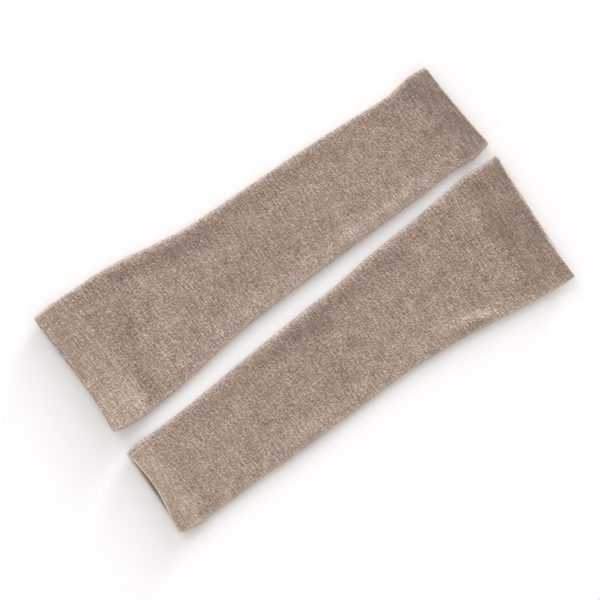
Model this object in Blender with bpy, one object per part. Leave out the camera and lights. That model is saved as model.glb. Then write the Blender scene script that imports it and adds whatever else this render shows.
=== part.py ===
"""A pair of knitted leg warmers laid flat, top to tail, at real size.

Each leg warmer is a tapered knitted tube with a deep doubled cuff at the calf
and a shallow doubled cuff at the ankle. Lying flat, its upper panel rests on
its lower panel, the two sides turn in rounded folds, and both ends lift.

Each leg warmer is described in its own frame: +X runs from the calf edge to
the ankle edge, +Y to the left of that run and +Z up from the flat underside.
The pair's frame has +X along both tubes, +Y across them and +Z up, with its
origin on the surface below the middle of the pair.
"""

import math
from collections import namedtuple

import bmesh
import bpy
from mathutils import Vector

MM = 0.001

# Driving dimensions, in metres. Lengths run along the tube, from calf to ankle.
LEG_A_LENGTH = 0.444
LEG_B_LENGTH = 0.448
CALF_CUFF_DEPTH = 0.037
ANKLE_CUFF_DEPTH = 0.022
BODY_WALL = 0.0017
CUFF_WALL = 0.0029
SEAM_GAP = 0.0003

# The stitching of a hem presses the cuff thinner beside the seam.
CUFF_WALL_AT_SEAM = 0.0023
SEAM_PRESS_RUN = 0.005

# The upper panel comes down from the rounded side folds over this distance.
FOLD_SHOULDER = 0.024

# Each end's lift, skew and bow fade out over these distances from its edge.
CALF_LIFT_RUN = 0.062
ANKLE_LIFT_RUN = 0.048
EDGE_SHAPE_RUN = 0.120
LIP_RUN = 0.030

# How finely the tubes are divided.
BOTTOM_STEPS = 8
FOLD_STEPS = 6
TOP_STEPS = 12
LIP_STEPS = 4
BODY_STATION_SPACING = 0.016
BODY_END_STATIONS = (0.0, 0.003, 0.007, 0.014)
CUFF_STATIONS = (0.0, 0.10, 0.28, 0.50, 0.72, 0.89)

# Placing of the pair: the middle of each tube, and its turn from the pair's +X.
Placing = namedtuple("Placing", "along across turn_degrees")
LEG_A_PLACING = Placing(along=0.0016, across=0.0635, turn_degrees=-0.5)
LEG_B_PLACING = Placing(along=-0.0009, across=-0.0640, turn_degrees=180.5)

# One row for each section of a tube, in millimetres: how far along it is, how
# far the left and right sides reach, how high the two side folds stand, and
# how high the middle of the upper panel lies above the lower panel's underside.
Section = namedtuple("Section", "along left right left_fold right_fold middle")

LEG_A_SECTIONS = (
    Section(0, 69.4, 62.0, 7.0, 7.4, 8.2),
    Section(8, 70.1, 64.9, 7.0, 7.4, 7.8),
    Section(20, 70.6, 66.3, 7.0, 7.4, 7.2),
    Section(37, 70.4, 66.6, 6.4, 6.6, 5.3),
    Section(62, 70.3, 65.4, 7.0, 6.8, 7.0),
    Section(96, 67.4, 61.3, 7.0, 7.0, 5.2),
    Section(134, 61.0, 55.9, 6.8, 7.4, 4.2),
    Section(172, 55.9, 53.1, 6.6, 7.2, 3.8),
    Section(229, 54.5, 51.0, 6.0, 7.0, 3.8),
    Section(306, 52.6, 49.6, 5.8, 6.8, 3.9),
    Section(363, 49.3, 48.7, 5.8, 6.8, 4.6),
    Section(398, 47.3, 46.6, 6.4, 6.8, 6.2),
    Section(422, 50.4, 48.1, 6.4, 6.4, 5.3),
    Section(436, 50.1, 46.2, 7.0, 7.0, 6.8),
    Section(444, 48.8, 44.4, 7.0, 7.0, 7.6),
)

LEG_B_SECTIONS = (
    Section(0, 70.8, 65.6, 7.0, 7.0, 8.0),
    Section(10, 70.7, 65.9, 7.0, 7.0, 7.6),
    Section(26, 69.0, 66.8, 7.2, 7.0, 7.0),
    Section(37, 68.2, 67.0, 6.4, 6.4, 5.3),
    Section(62, 65.1, 65.3, 7.0, 6.4, 6.8),
    Section(98, 59.6, 62.4, 7.0, 6.0, 5.0),
    Section(145, 53.9, 60.4, 6.6, 6.2, 4.0),
    Section(190, 50.4, 56.2, 6.4, 6.6, 3.8),
    Section(250, 50.8, 54.1, 6.4, 6.6, 3.8),
    Section(316, 50.6, 50.6, 6.6, 6.2, 3.9),
    Section(373, 49.2, 47.2, 6.6, 6.0, 4.6),
    Section(403, 49.3, 46.7, 6.6, 6.4, 6.2),
    Section(426, 49.5, 47.3, 6.4, 6.4, 5.3),
    Section(439, 47.3, 46.8, 7.2, 7.2, 7.8),
    Section(448, 44.8, 45.4, 7.2, 7.2, 9.1),
)

# The form of each open end, in millimetres: how high its left and right
# corners lift, how far the left corner reaches towards the ankle and the right
# one back, how far the edge bows in, and how much further the upper lip draws
# back than the lower lip. The other figures are shares of the half width: how
# much deeper the bow is towards the left, and where across the end the mouth
# has its middle and how far it reaches from there.
End = namedtuple("End", "lift_left lift_right skew bow bow_lean upper_set_back mouth_middle mouth_reach")

LEG_A_CALF_END = End(4.0, 8.0, 0.0, 1.6, -1.4, 1.0, 0.0, 1.0)
LEG_A_ANKLE_END = End(5.2, 4.4, -3.6, 0.0, 0.0, 1.2, 0.0, 1.0)
LEG_B_CALF_END = End(5.2, 6.4, 3.8, 0.9, 0.5, 2.2, 0.0, 1.0)
LEG_B_ANKLE_END = End(4.6, 5.4, 1.5, 0.3, 0.0, 5.0, -0.15, 0.85)

# Soft swells of the upper panel, in millimetres: where the middle of each one
# is, its reach along and across, and its height. A hollow has less than none.
Swell = namedtuple("Swell", "along across reach_along reach_across height")

LEG_A_SWELLS = (
    Swell(112, 24, 34, 20, 1.1),
    Swell(178, -22, 30, 22, 1.0),
    Swell(252, 14, 44, 18, 0.8),
    Swell(334, -16, 36, 16, 1.1),
)

LEG_B_SWELLS = (
    Swell(104, -18, 30, 22, 1.2),
    Swell(168, 26, 34, 16, 1.0),
    Swell(232, -20, 30, 18, 1.1),
    Swell(318, 18, 42, 18, 0.9),
)

Leg = namedtuple("Leg", "name length placing sections calf_end ankle_end swells")

LEG_A = Leg(
    "leg_a", LEG_A_LENGTH, LEG_A_PLACING, LEG_A_SECTIONS, LEG_A_CALF_END, LEG_A_ANKLE_END, LEG_A_SWELLS
)
LEG_B = Leg(
    "leg_b", LEG_B_LENGTH, LEG_B_PLACING, LEG_B_SECTIONS, LEG_B_CALF_END, LEG_B_ANKLE_END, LEG_B_SWELLS
)

# Colour (linear RGB) and roughness of the heather knit.
Finish = namedtuple("Finish", "colour roughness")
BODY_KNIT = Finish((0.366, 0.283, 0.231, 1.0), 0.92)
CUFF_KNIT = Finish((0.352, 0.271, 0.220, 1.0), 0.94)


def clear_scene():
    for item in list(bpy.data.objects):
        bpy.data.objects.remove(item, do_unlink=True)


def knit_material(name, finish):
    material = bpy.data.materials.new(name)
    material.use_nodes = True
    shader = material.node_tree.nodes["Principled BSDF"]
    shader.inputs["Base Color"].default_value = finish.colour
    shader.inputs["Roughness"].default_value = finish.roughness
    shader.inputs["Metallic"].default_value = 0.0
    material.diffuse_color = finish.colour
    return material


def fade(distance, run):
    """Falls smoothly from 1 at no distance to 0 at `run` and beyond."""
    share = min(max(distance / run, 0.0), 1.0)
    return (1.0 - share) ** 2 * (1.0 + 2.0 * share)


def curve_value(xs, ys, x):
    """Smooth curve through points, which stays between neighbours that level off."""
    x = min(max(x, xs[0]), xs[-1])
    span = next(i for i in range(len(xs) - 1) if x <= xs[i + 1])
    slopes = [(ys[i + 1] - ys[i]) / (xs[i + 1] - xs[i]) for i in range(len(xs) - 1)]

    def tangent(i):
        if i == 0:
            return slopes[0]
        if i == len(slopes):
            return slopes[-1]
        before, after = slopes[i - 1], slopes[i]
        if before * after <= 0.0:
            return 0.0
        return 2.0 * before * after / (before + after)

    width = xs[span + 1] - xs[span]
    t = (x - xs[span]) / width
    start = (2 * t**3 - 3 * t**2 + 1) * ys[span] + (t**3 - 2 * t**2 + t) * width * tangent(span)
    finish = (3 * t**2 - 2 * t**3) * ys[span + 1] + (t**3 - t**2) * width * tangent(span + 1)
    return start + finish


def section_at(leg, along):
    """The tube's section at a distance from its calf edge, in metres."""
    xs = [row.along * MM for row in leg.sections]
    columns = list(zip(*leg.sections))[1:]
    return Section(along, *(curve_value(xs, [v * MM for v in column], along) for column in columns))


def swell_height(leg, along, across):
    total = 0.0
    for swell in leg.swells:
        run = (along - swell.along * MM) / (swell.reach_along * MM)
        side = (across - swell.across * MM) / (swell.reach_across * MM)
        total += swell.height * MM * math.exp(-(run**2) - side**2)
    return total


def upper_height(leg, section, across):
    """Height of the upper panel's outer face above the lower panel's."""
    left_turn = section.left - section.left_fold / 2
    right_turn = section.right_fold / 2 - section.right
    left_rise = (section.left_fold - section.middle) * fade(left_turn - across, FOLD_SHOULDER)
    right_rise = (section.right_fold - section.middle) * fade(across - right_turn, FOLD_SHOULDER)
    clear_of_folds = 1.0 - fade(left_turn - across, FOLD_SHOULDER) - fade(across - right_turn, FOLD_SHOULDER)
    swell = swell_height(leg, section.along, across) * max(clear_of_folds, 0.0)
    return section.middle + left_rise + right_rise + swell


def lift_at(leg, along, side):
    """How far a section stands off the surface; side is 1 at its left and -1 at its right."""
    calf = fade_square(along, CALF_LIFT_RUN)
    ankle = fade_square(leg.length - along, ANKLE_LIFT_RUN)
    left_share = (1.0 + side) / 2
    calf_lift = leg.calf_end.lift_left * left_share + leg.calf_end.lift_right * (1 - left_share)
    ankle_lift = leg.ankle_end.lift_left * left_share + leg.ankle_end.lift_right * (1 - left_share)
    return (calf * calf_lift + ankle * ankle_lift) * MM


def fade_square(distance, run):
    """Falls from 1 at no distance to 0 at `run`, and meets 0 level."""
    return max(1.0 - distance / run, 0.0) ** 2


def edge_shift(leg, along, side, upper):
    """How far the shape of the nearer edge moves a point along the tube."""
    from_ankle = leg.length - along
    shift = 0.0
    for end, distance, inward in ((leg.calf_end, along, 1), (leg.ankle_end, from_ankle, -1)):
        middle = 1.0 - side**2
        bow = end.bow * middle * (1.0 + end.bow_lean * side)
        whole_edge = fade(distance, EDGE_SHAPE_RUN) * (end.skew * side + inward * bow)
        mouth = max(1.0 - ((side - end.mouth_middle) / end.mouth_reach) ** 2, 0.0)
        upper_lip = fade(distance, LIP_RUN) * inward * end.upper_set_back * mouth * upper
        shift += (whole_edge + upper_lip) * MM
    return shift


def ring(leg, along, depth):
    """Loop of points round the tube, `depth` in from its outer face."""
    section = section_at(leg, along)
    left_fold = section.left_fold / 2
    right_fold = section.right_fold / 2
    left_turn = section.left - left_fold
    right_turn = right_fold - section.right
    loop = []
    for step in range(BOTTOM_STEPS):
        across = right_turn + (left_turn - right_turn) * step / BOTTOM_STEPS
        loop.append((across, depth, 0.0))
    for step in range(FOLD_STEPS):
        turn = math.pi * step / FOLD_STEPS
        across = left_turn + (left_fold - depth) * math.sin(turn)
        loop.append((across, left_fold - (left_fold - depth) * math.cos(turn), step / FOLD_STEPS))
    for step in range(TOP_STEPS):
        spread = (1.0 - math.cos(math.pi * step / TOP_STEPS)) / 2
        across = left_turn + (right_turn - left_turn) * spread
        loop.append((across, upper_height(leg, section, across) - depth, 1.0))
    for step in range(FOLD_STEPS):
        turn = math.pi * step / FOLD_STEPS
        across = right_turn - (right_fold - depth) * math.sin(turn)
        loop.append((across, right_fold + (right_fold - depth) * math.cos(turn), 1.0 - step / FOLD_STEPS))

    points = []
    for across, height, upper in loop:
        side = across / (section.left if across > 0 else section.right)
        x = along + edge_shift(leg, along, side, upper)
        z = height + lift_at(leg, along, side)
        points.append(Vector((x - leg.length / 2, across, z)))
    return points


def cuff_wall(distance_from_seam):
    pressed = math.exp(-((distance_from_seam / SEAM_PRESS_RUN) ** 2))
    return CUFF_WALL + (CUFF_WALL_AT_SEAM - CUFF_WALL) * pressed


def body_rings(leg):
    """Rings of a body: out along its outer face and back along its inner one."""
    start = CALF_CUFF_DEPTH + SEAM_GAP / 2
    end = leg.length - ANKLE_CUFF_DEPTH - SEAM_GAP / 2
    inset = BODY_END_STATIONS[-1]
    middle_run = end - start - 2 * inset
    middle_count = round(middle_run / BODY_STATION_SPACING)
    stations = [start + distance for distance in BODY_END_STATIONS[:-1]]
    stations += [start + inset + middle_run * i / middle_count for i in range(middle_count + 1)]
    stations += [end - distance for distance in reversed(BODY_END_STATIONS[:-1])]
    outer = [ring(leg, along, 0.0) for along in stations]
    inner = [ring(leg, along, BODY_WALL) for along in reversed(stations)]
    return outer + inner


def cuff_rings(leg, seam, edge):
    """Rings of a cuff: out to its rounded lip along its outer face, and back inside."""
    towards_edge = 1.0 if edge > seam else -1.0
    lip = CUFF_WALL / 2
    run = abs(edge - seam) - lip
    distances = [run * share for share in CUFF_STATIONS]
    outer = [ring(leg, seam + towards_edge * d, 0.0) for d in distances]
    inner = [ring(leg, seam + towards_edge * d, cuff_wall(d)) for d in reversed(distances)]
    rounded = []
    for step in range(LIP_STEPS + 1):
        turn = math.pi * step / LIP_STEPS
        along = seam + towards_edge * (run + lip * math.sin(turn))
        rounded.append(ring(leg, along, lip - lip * math.cos(turn)))
    return outer + rounded + inner


def tube_object(name, rings, material, parent):
    """One closed solid from a loop of rings, each of which is a loop of points."""
    wall = bmesh.new()
    rows = [[wall.verts.new(point) for point in points] for points in rings]
    count = len(rows[0])
    for row, next_row in zip(rows, rows[1:] + rows[:1]):
        for i in range(count):
            j = (i + 1) % count
            wall.faces.new((row[i], row[j], next_row[j], next_row[i]))
    bmesh.ops.recalc_face_normals(wall, faces=wall.faces)
    mesh = bpy.data.meshes.new(name)
    wall.to_mesh(mesh)
    wall.free()
    mesh.shade_smooth()
    mesh.set_sharp_from_angle(angle=math.radians(50))
    mesh.materials.append(material)
    tube = bpy.data.objects.new(name, mesh)
    bpy.context.scene.collection.objects.link(tube)
    tube.parent = parent
    return tube


def empty(name, parent=None):
    item = bpy.data.objects.new(name, None)
    bpy.context.scene.collection.objects.link(item)
    item.parent = parent
    return item


def build_leg(leg, pair, body_knit, cuff_knit):
    """The three sewn pieces of one leg warmer, placed within the pair."""
    place = empty(leg.name, pair)
    place.location = (leg.placing.along, leg.placing.across, 0.0)
    place.rotation_euler = (0.0, 0.0, math.radians(leg.placing.turn_degrees))
    calf_seam = CALF_CUFF_DEPTH - SEAM_GAP / 2
    ankle_seam = leg.length - ANKLE_CUFF_DEPTH + SEAM_GAP / 2
    return [
        tube_object(leg.name + "_body", body_rings(leg), body_knit, place),
        tube_object(leg.name + "_calf_cuff", cuff_rings(leg, calf_seam, 0.0), cuff_knit, place),
        tube_object(leg.name + "_ankle_cuff", cuff_rings(leg, ankle_seam, leg.length), cuff_knit, place),
    ]


def centre_pair(pair, pieces):
    """Moves the pair so that its box is centred over the origin."""
    bpy.context.view_layer.update()
    points = [piece.matrix_world @ vertex.co for piece in pieces for vertex in piece.data.vertices]
    for axis in range(2):
        values = [point[axis] for point in points]
        pair.location[axis] -= (min(values) + max(values)) / 2


def main():
    clear_scene()
    body_knit = knit_material("body_knit", BODY_KNIT)
    cuff_knit = knit_material("cuff_knit", CUFF_KNIT)
    pair = empty("leg_warmer_pair")
    pieces = []
    for leg in (LEG_A, LEG_B):
        pieces += build_leg(leg, pair, body_knit, cuff_knit)
    centre_pair(pair, pieces)
    bpy.context.view_layer.update()


main()
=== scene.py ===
"""The pair of leg warmers as it looks: heather knit tubes laid flat on a pale floor.

Each leg warmer is drawn in its own frame: +X runs from the calf edge to the
ankle edge, +Y to the left of that run and +Z up from its flat underside.
"""

import math
from collections import namedtuple

import bpy
import numpy as np
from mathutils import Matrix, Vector, noise


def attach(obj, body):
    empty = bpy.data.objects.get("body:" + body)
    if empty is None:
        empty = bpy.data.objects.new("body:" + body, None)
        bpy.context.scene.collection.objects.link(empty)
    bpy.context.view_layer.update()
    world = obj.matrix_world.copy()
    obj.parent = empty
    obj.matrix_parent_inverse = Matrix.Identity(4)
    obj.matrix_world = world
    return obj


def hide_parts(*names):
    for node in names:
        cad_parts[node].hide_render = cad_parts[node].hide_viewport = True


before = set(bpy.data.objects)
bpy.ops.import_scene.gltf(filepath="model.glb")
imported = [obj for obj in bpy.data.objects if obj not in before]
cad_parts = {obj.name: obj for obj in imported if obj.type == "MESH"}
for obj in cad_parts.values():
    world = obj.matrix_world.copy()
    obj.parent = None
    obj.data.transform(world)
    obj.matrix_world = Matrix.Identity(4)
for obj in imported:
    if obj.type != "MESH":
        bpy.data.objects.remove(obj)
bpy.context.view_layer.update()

MM = 0.001
TINY = 1e-12

# Sizes of the garment, in metres, as the solids have them.
LEG_A_LENGTH = 0.444
LEG_B_LENGTH = 0.448
CALF_CUFF_DEPTH = 0.037
ANKLE_CUFF_DEPTH = 0.022
BODY_WALL = 0.0017
CUFF_WALL = 0.0029
CUFF_WALL_AT_SEAM = 0.0023
SEAM_PRESS_RUN = 0.005
FOLD_SHOULDER = 0.024
CALF_LIFT_RUN = 0.062
ANKLE_LIFT_RUN = 0.048
EDGE_SHAPE_RUN = 0.120
LIP_RUN = 0.030
PANEL_GAP = 0.0002

# The knit: one course is a row across the tube, one wale a column of V stitches along it.
COURSE = 0.0014
COURSE_LEAN = math.tan(math.radians(4.0))
COURSE_ZIGZAG = 0.35
COURSE_SWAY = 1.2
WALE_SWAY = 0.7
SWAY_SCALE = 30.0
LEG_PITCH = 0.0010
LEG_LEAN = math.radians(22.0)
WALES_ROUND = 116
ROUND_AT_MIDDLE = 0.232

# Relief of the creases, hems and side folds, in metres.
CREASE_SWAY = 0.003
CREASE_BENDS = 4.0
HEM_STEP_HEIGHT = 0.0006
HEM_STEP_RUN = 0.0018
HEM_STEP_FADE = 0.014
HEM_GROOVE_DEPTH = 0.0002
HEM_GROOVE_REACH = 0.0012
HEM_RISE = 2.0
HEM_UNDER_SHARE = 0.3
PUCKER_HEIGHT = 0.0006
PUCKER_REACH = 0.009
PUCKER_SPACING = 0.0045
PUCKER_STRETCH = (0.22, 1.0, 1.0)
PUCKER_SEED_SHIFT = 5.0
FOLD_RIDGE_INSET = 0.0072
FOLD_RIDGE_REACH = 0.0068

# Small unevenness: the spacing and height of each layer, and how it calms towards both ends.
WOBBLES = ((0.024, 0.0004), (0.009, 0.0001))
WOBBLE_RISE = 3.0
WOBBLE_END_RUN = 0.02
WOBBLE_END_LOSS = 0.5
NOISE_SHIFT = (1.0, 2.3, 4.1)
NOISE_PANELS_APART = 0.02

# Painted highlights: how far the lighter colour reaches in from folds, lips and hems, and how far up
# a face has to look, as the height of its normal, before its painted highlight is full.
FOLD_HIGHLIGHT_REACH = 0.0032
FOLD_HIGHLIGHT_FULL_AT = 0.5
LIP_HIGHLIGHT_REACH = 0.0013
LIP_HIGHLIGHT_FULL_AT = 0.15
# Painted highlight along each hem seam.
HEM_HIGHLIGHT_REACH = 0.0030
# The painted light and shade of each patch lies only past this share of the way round to the upper panel.
SHADING_PATCHES_ABOVE = 0.4

# Sewing: small slanted stitches all round each hem, and the seam at leg B's ankle edge.
HEM_STITCH_GAP = 0.0029
HEM_STITCH_HALF_WIDTH = 0.0007
HEM_STITCH_SLANT = 0.0009
HEM_STITCH_RADIUS = 0.00018
HEM_STITCH_STANDS = 0.00012
HEM_STITCH_PLACES = np.array((-1.0, -0.6, 0.0, 0.6, 1.0))
HEM_STITCH_TAPER = np.array((0.5, 0.9, 1.0, 0.9, 0.5))
HEM_TANGENT_STEP = 0.0005
UNDERSIDE_BELOW = 0.1
THREAD_SUNK = 0.0002
THREAD_SIDES = 6
SEAM_THREAD_RADIUS = 0.00045
SEAM_THREAD_LIFT = 0.3
SEAM_THREAD_THINS = 0.5
SEAM_THREAD_TIP = 0.5
SEAM_THREAD_POINTS = 28
SEAM_THREAD_SIDES = 8
OVERCAST_PITCH = 0.0011
OVERCAST_RADIUS = 0.00024
OVERCAST_LIFT = 0.2
OVERCAST_TAPER = np.array((0.6, 1.0, 1.0, 1.0, 1.0, 0.6))

# Nap: loose fibre ends, most of them on the folds and lips.
HAIR_RADIUS = 0.00004
HAIR_TAPER = np.array((1.0, 1.0, 0.8, 0.15))
HAIR_SIDES = 3
HAIR_ROOT_DEPTH = 0.0002
HAIR_LENGTHS = (0.0008, 0.0022)
HAIR_SCATTER = 0.4
HAIR_LEAN = 0.75
HAIR_BEND = 0.8
HAIR_NECK = 0.2
HAIR_UP_NUDGE = 0.000001
HAIRS_PER_AREA = 90000.0
HAIRS_FACE_ABOVE = -0.5
EDGE_HAIR_GAIN = 9.0
EDGE_HAIR_REACH = 0.0025
NAP_SEED = 150

# How finely the cloth is divided.
STEP_ALONG_BODY = 0.0022
STEP_ALONG_CUFF = 0.0010
AROUND_STEPS = {"bottom": 44, "left": 14, "top": 64, "right": 14}
EVEN_SHARE = 0.45
EASED_SHARE = 0.55
LIP_STEPS = 8
BODY_INNER_SHARE = 4
CUFF_INNER_SHARE = 2
SHARP_DEGREES = 55

# The tables are in millimetres and degrees, and a leg's placing in metres. Leans, mouths,
# the painted highlights and the painted light and shade of each patch are shares.
Placing = namedtuple("Placing", "along across turn_degrees")
Section = namedtuple("Section", "along left right left_fold right_fold middle")
End = namedtuple("End", "lift_left lift_right skew bow bow_lean upper_set_back mouth_middle mouth_reach")
Bump = namedtuple("Bump", "along across reach_along reach_across height")
Crease = namedtuple("Crease", "along across length heading width height")
Ridges = namedtuple("Ridges", "along left right")
Patch = namedtuple("Patch", "along across reach_along reach_across tone heading", defaults=(0,))
LipWear = namedtuple("LipWear", "middle sides")
Seam = namedtuple("Seam", "start_along start_across end_along end_across width")
Leg = namedtuple(
    "Leg",
    "name length placing sections calf_end ankle_end swells creases under ridges puckers "
    "patches noise_seed knit_start lip_wear fold_wear seam",
)

LEG_A = Leg(
    name="leg_a",
    length=LEG_A_LENGTH,
    placing=Placing(along=0.00124, across=0.06201, turn_degrees=-0.5),
    sections=(
        Section(0, 69.4, 62.0, 7.0, 7.4, 8.2),
        Section(8, 70.1, 64.9, 7.0, 7.4, 7.8),
        Section(20, 70.6, 66.3, 7.0, 7.4, 7.2),
        Section(37, 70.4, 66.6, 6.4, 6.6, 5.3),
        Section(62, 70.3, 65.4, 7.0, 6.8, 7.0),
        Section(96, 67.4, 61.3, 7.0, 7.0, 5.2),
        Section(134, 61.0, 55.9, 6.8, 7.4, 4.2),
        Section(172, 55.9, 53.1, 6.6, 7.2, 3.8),
        Section(229, 54.5, 51.0, 6.0, 7.0, 3.8),
        Section(306, 52.6, 49.6, 5.8, 6.8, 3.9),
        Section(363, 49.3, 48.7, 5.8, 6.8, 4.6),
        Section(398, 47.3, 46.6, 6.4, 6.8, 6.2),
        Section(422, 50.4, 48.1, 6.4, 6.4, 5.3),
        Section(436, 50.1, 46.2, 7.0, 7.0, 6.8),
        Section(444, 48.8, 44.4, 7.0, 7.0, 7.6),
    ),
    calf_end=End(4.0, 8.0, 0.0, 1.6, -1.4, 1.0, 0.0, 1.0),
    ankle_end=End(5.2, 4.4, -3.6, 0.0, 0.0, 1.2, 0.0, 1.0),
    swells=(
        Bump(112, 24, 34, 20, 1.1),
        Bump(178, -22, 30, 22, 1.0),
        Bump(252, 14, 44, 18, 0.8),
        Bump(334, -16, 36, 16, 1.1),
    ),
    creases=(
        Crease(58, 10, 70, 84, 6, 0.5),
        Crease(92, -30, 46, 20, 7, -0.5),
        Crease(150, 34, 60, -8, 7, -0.5),
        Crease(206, 4, 52, 60, 8, 0.4),
        Crease(286, -28, 70, 6, 6, -0.4),
        Crease(352, 22, 44, -30, 7, 0.4),
        Crease(404, -4, 60, 88, 5, 0.4),
    ),
    under=(
        Crease(120, 12, 60, 12, 8, -0.5),
        Crease(240, -18, 70, -10, 8, -0.4),
        Crease(340, 16, 50, 30, 7, -0.5),
    ),
    ridges=Ridges(
        along=(0, 45, 62, 86, 112, 142, 182, 232, 276, 304, 346, 382, 408, 444),
        left=(0.3, 0.5, 0.9, 1.8, 1.1, 2.0, 1.5, 1.3, 1.3, 0.8, 0.6, 0.5, 0.6, 0.3),
        right=(0.2, 0.3, 0.3, 0.4, 0.6, 1.0, 1.2, 1.4, 1.2, 1.7, 1.9, 1.6, 0.6, 0.3),
    ),
    puckers=(
        Bump(41, -38, 4.5, 5.0, 0.9),
        Bump(41, -52, 4.0, 4.5, 1.0),
        Bump(40, -24, 4.0, 5.0, 0.5),
        Bump(35, -45, 3.0, 4.0, -0.4),
        Bump(36, -30, 3.0, 4.0, -0.3),
        Bump(418, 30, 4.0, 6.0, 0.4),
    ),
    # Painted light and shade: soft lighter and darker places on the upper panel.
    patches=(
        Patch(17, -44, 19, 22, 0.11),
        Patch(20, 36, 18, 26, -0.05),
        Patch(34, -50, 5, 14, 0.07),
        Patch(41, -38, 3, 4, 0.09),
        Patch(41, -52, 3, 4, 0.10),
        Patch(40, -24, 3, 4, 0.05),
        Patch(49, -32, 8, 34, -0.06),
        Patch(69, 12, 24, 10, -0.11, 80),
        Patch(87, 46, 11, 14, -0.08),
        Patch(106, 18, 12, 22, 0.03),
        Patch(142, 41, 28, 7, -0.04, -8),
        Patch(245, 43, 80, 5, 0.03),
        Patch(205, -10, 50, 16, -0.04),
        Patch(290, -16, 15, 12, 0.04),
        Patch(190, -45, 55, 7, 0.05),
        Patch(322, -40, 54, 8, 0.08),
        Patch(345, 16, 40, 18, 0.03),
        Patch(411, 38, 9, 8, -0.11),
        Patch(430, 24, 7, 12, -0.08),
        Patch(414, -4, 18, 8, -0.07),
        Patch(426, 9, 7, 6, 0.06),
        Patch(424, -22, 7, 9, 0.07),
        Patch(434, -20, 6, 12, -0.04),
        Patch(420, -40, 6, 6, -0.07),
    ),
    noise_seed=3.0,
    knit_start=0.0,
    # Painted highlight on the calf lip and on the ankle lip, at the middle and the sides of each.
    lip_wear=(LipWear(0.7, 0.7), LipWear(1.8, 1.6)),
    # Painted highlight along the left and the right fold.
    fold_wear=(0.9, 1.75),
    seam=None,
)

LEG_B = Leg(
    name="leg_b",
    length=LEG_B_LENGTH,
    placing=Placing(along=-0.00126, across=-0.06549, turn_degrees=180.5),
    sections=(
        Section(0, 70.8, 65.6, 7.0, 7.0, 8.0),
        Section(10, 70.7, 65.9, 7.0, 7.0, 7.6),
        Section(26, 69.0, 66.8, 7.2, 7.0, 7.0),
        Section(37, 68.2, 67.0, 6.4, 6.4, 5.3),
        Section(62, 65.1, 65.3, 7.0, 6.4, 6.8),
        Section(98, 59.6, 62.4, 7.0, 6.0, 5.0),
        Section(145, 53.9, 60.4, 6.6, 6.2, 4.0),
        Section(190, 50.4, 56.2, 6.4, 6.6, 3.8),
        Section(250, 50.8, 54.1, 6.4, 6.6, 3.8),
        Section(316, 50.6, 50.6, 6.6, 6.2, 3.9),
        Section(373, 49.2, 47.2, 6.6, 6.0, 4.6),
        Section(403, 49.3, 46.7, 6.6, 6.4, 6.2),
        Section(426, 49.5, 47.3, 6.4, 6.4, 5.3),
        Section(439, 47.3, 46.8, 7.2, 7.2, 7.8),
        Section(448, 44.8, 45.4, 7.2, 7.2, 9.1),
    ),
    calf_end=End(5.2, 6.4, 3.8, 0.9, 0.5, 2.2, 0.0, 1.0),
    ankle_end=End(4.6, 5.4, 1.5, 0.3, 0.0, 5.0, -0.15, 0.85),
    swells=(
        Bump(104, -18, 30, 22, 1.2),
        Bump(168, 26, 34, 16, 1.0),
        Bump(232, -20, 30, 18, 1.1),
        Bump(318, 18, 42, 18, 0.9),
    ),
    creases=(
        Crease(60, -6, 76, 92, 6, 0.5),
        Crease(103, 50, 64, -22, 5.5, 1.5),
        Crease(136, -34, 50, 10, 7, -0.5),
        Crease(196, -38, 56, 4, 7, -0.6),
        Crease(254, 20, 60, -14, 7, 0.4),
        Crease(330, -10, 56, 40, 8, -0.4),
        Crease(402, 6, 62, 90, 5, 0.4),
    ),
    under=(
        Crease(110, -14, 60, -14, 8, -0.5),
        Crease(226, 20, 70, 8, 8, -0.4),
        Crease(350, -12, 52, -28, 7, -0.5),
    ),
    ridges=Ridges(
        along=(0, 45, 76, 106, 142, 182, 214, 238, 264, 304, 352, 398, 448),
        left=(0.2, 0.5, 0.6, 0.5, 1.2, 1.2, 1.0, 1.1, 1.2, 1.5, 1.1, 0.7, 0.3),
        right=(0.3, 0.5, 0.6, 1.0, 1.3, 1.0, 1.5, 2.3, 1.7, 1.3, 0.9, 0.6, 0.3),
    ),
    puckers=(
        Bump(40, 42, 4.0, 6.0, 0.4),
        Bump(40, -20, 4.0, 7.0, 0.4),
        Bump(427, -24, 3.5, 6.0, 0.4),
        Bump(428, 14, 3.5, 7.0, 0.4),
    ),
    # Painted light and shade: soft lighter and darker places on the upper panel.
    patches=(
        Patch(34, -6, 16, 20, -0.13),
        Patch(4, 4, 6, 18, -0.12),
        Patch(14, 32, 8, 24, -0.04),
        Patch(10, -48, 10, 12, -0.06),
        Patch(30, -50, 6, 8, -0.12),
        Patch(46, 50, 10, 15, -0.06),
        Patch(82, 57, 15, 4, 0.13, -34),
        Patch(108, 43, 26, 4, 0.15, -17),
        Patch(116, 54, 14, 4, -0.05, -20),
        Patch(70, -22, 22, 16, -0.03),
        Patch(136, -41, 30, 8, -0.04),
        Patch(234, -32, 26, 10, -0.13),
        Patch(246, 18, 20, 14, -0.08),
        Patch(296, 4, 22, 16, -0.03),
        Patch(320, -43, 40, 5, 0.03),
        Patch(352, -24, 22, 10, 0.03),
        Patch(292, 36, 26, 8, 0.04),
        Patch(428, 30, 6, 18, 0.05),
        Patch(430, -20, 8, 12, 0.04),
    ),
    noise_seed=11.0,
    knit_start=0.61,
    # Painted highlight on the calf lip and on the ankle lip, at the middle and the sides of each.
    lip_wear=(LipWear(0.6, 3.4), LipWear(3.4, 3.4)),
    # Painted highlight along the left and the right fold.
    fold_wear=(1.75, 0.9),
    seam=Seam(446.3, -41.0, 425.1, -42.0, 3.6),
)


# ---- the form of the tubes

def fade(distance, run):
    share = np.clip(distance / run, 0.0, 1.0)
    return (1.0 - share) ** 2 * (1.0 + 2.0 * share)


def bell(distance, reach):
    return np.exp(-((distance / reach) ** 2))


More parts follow.
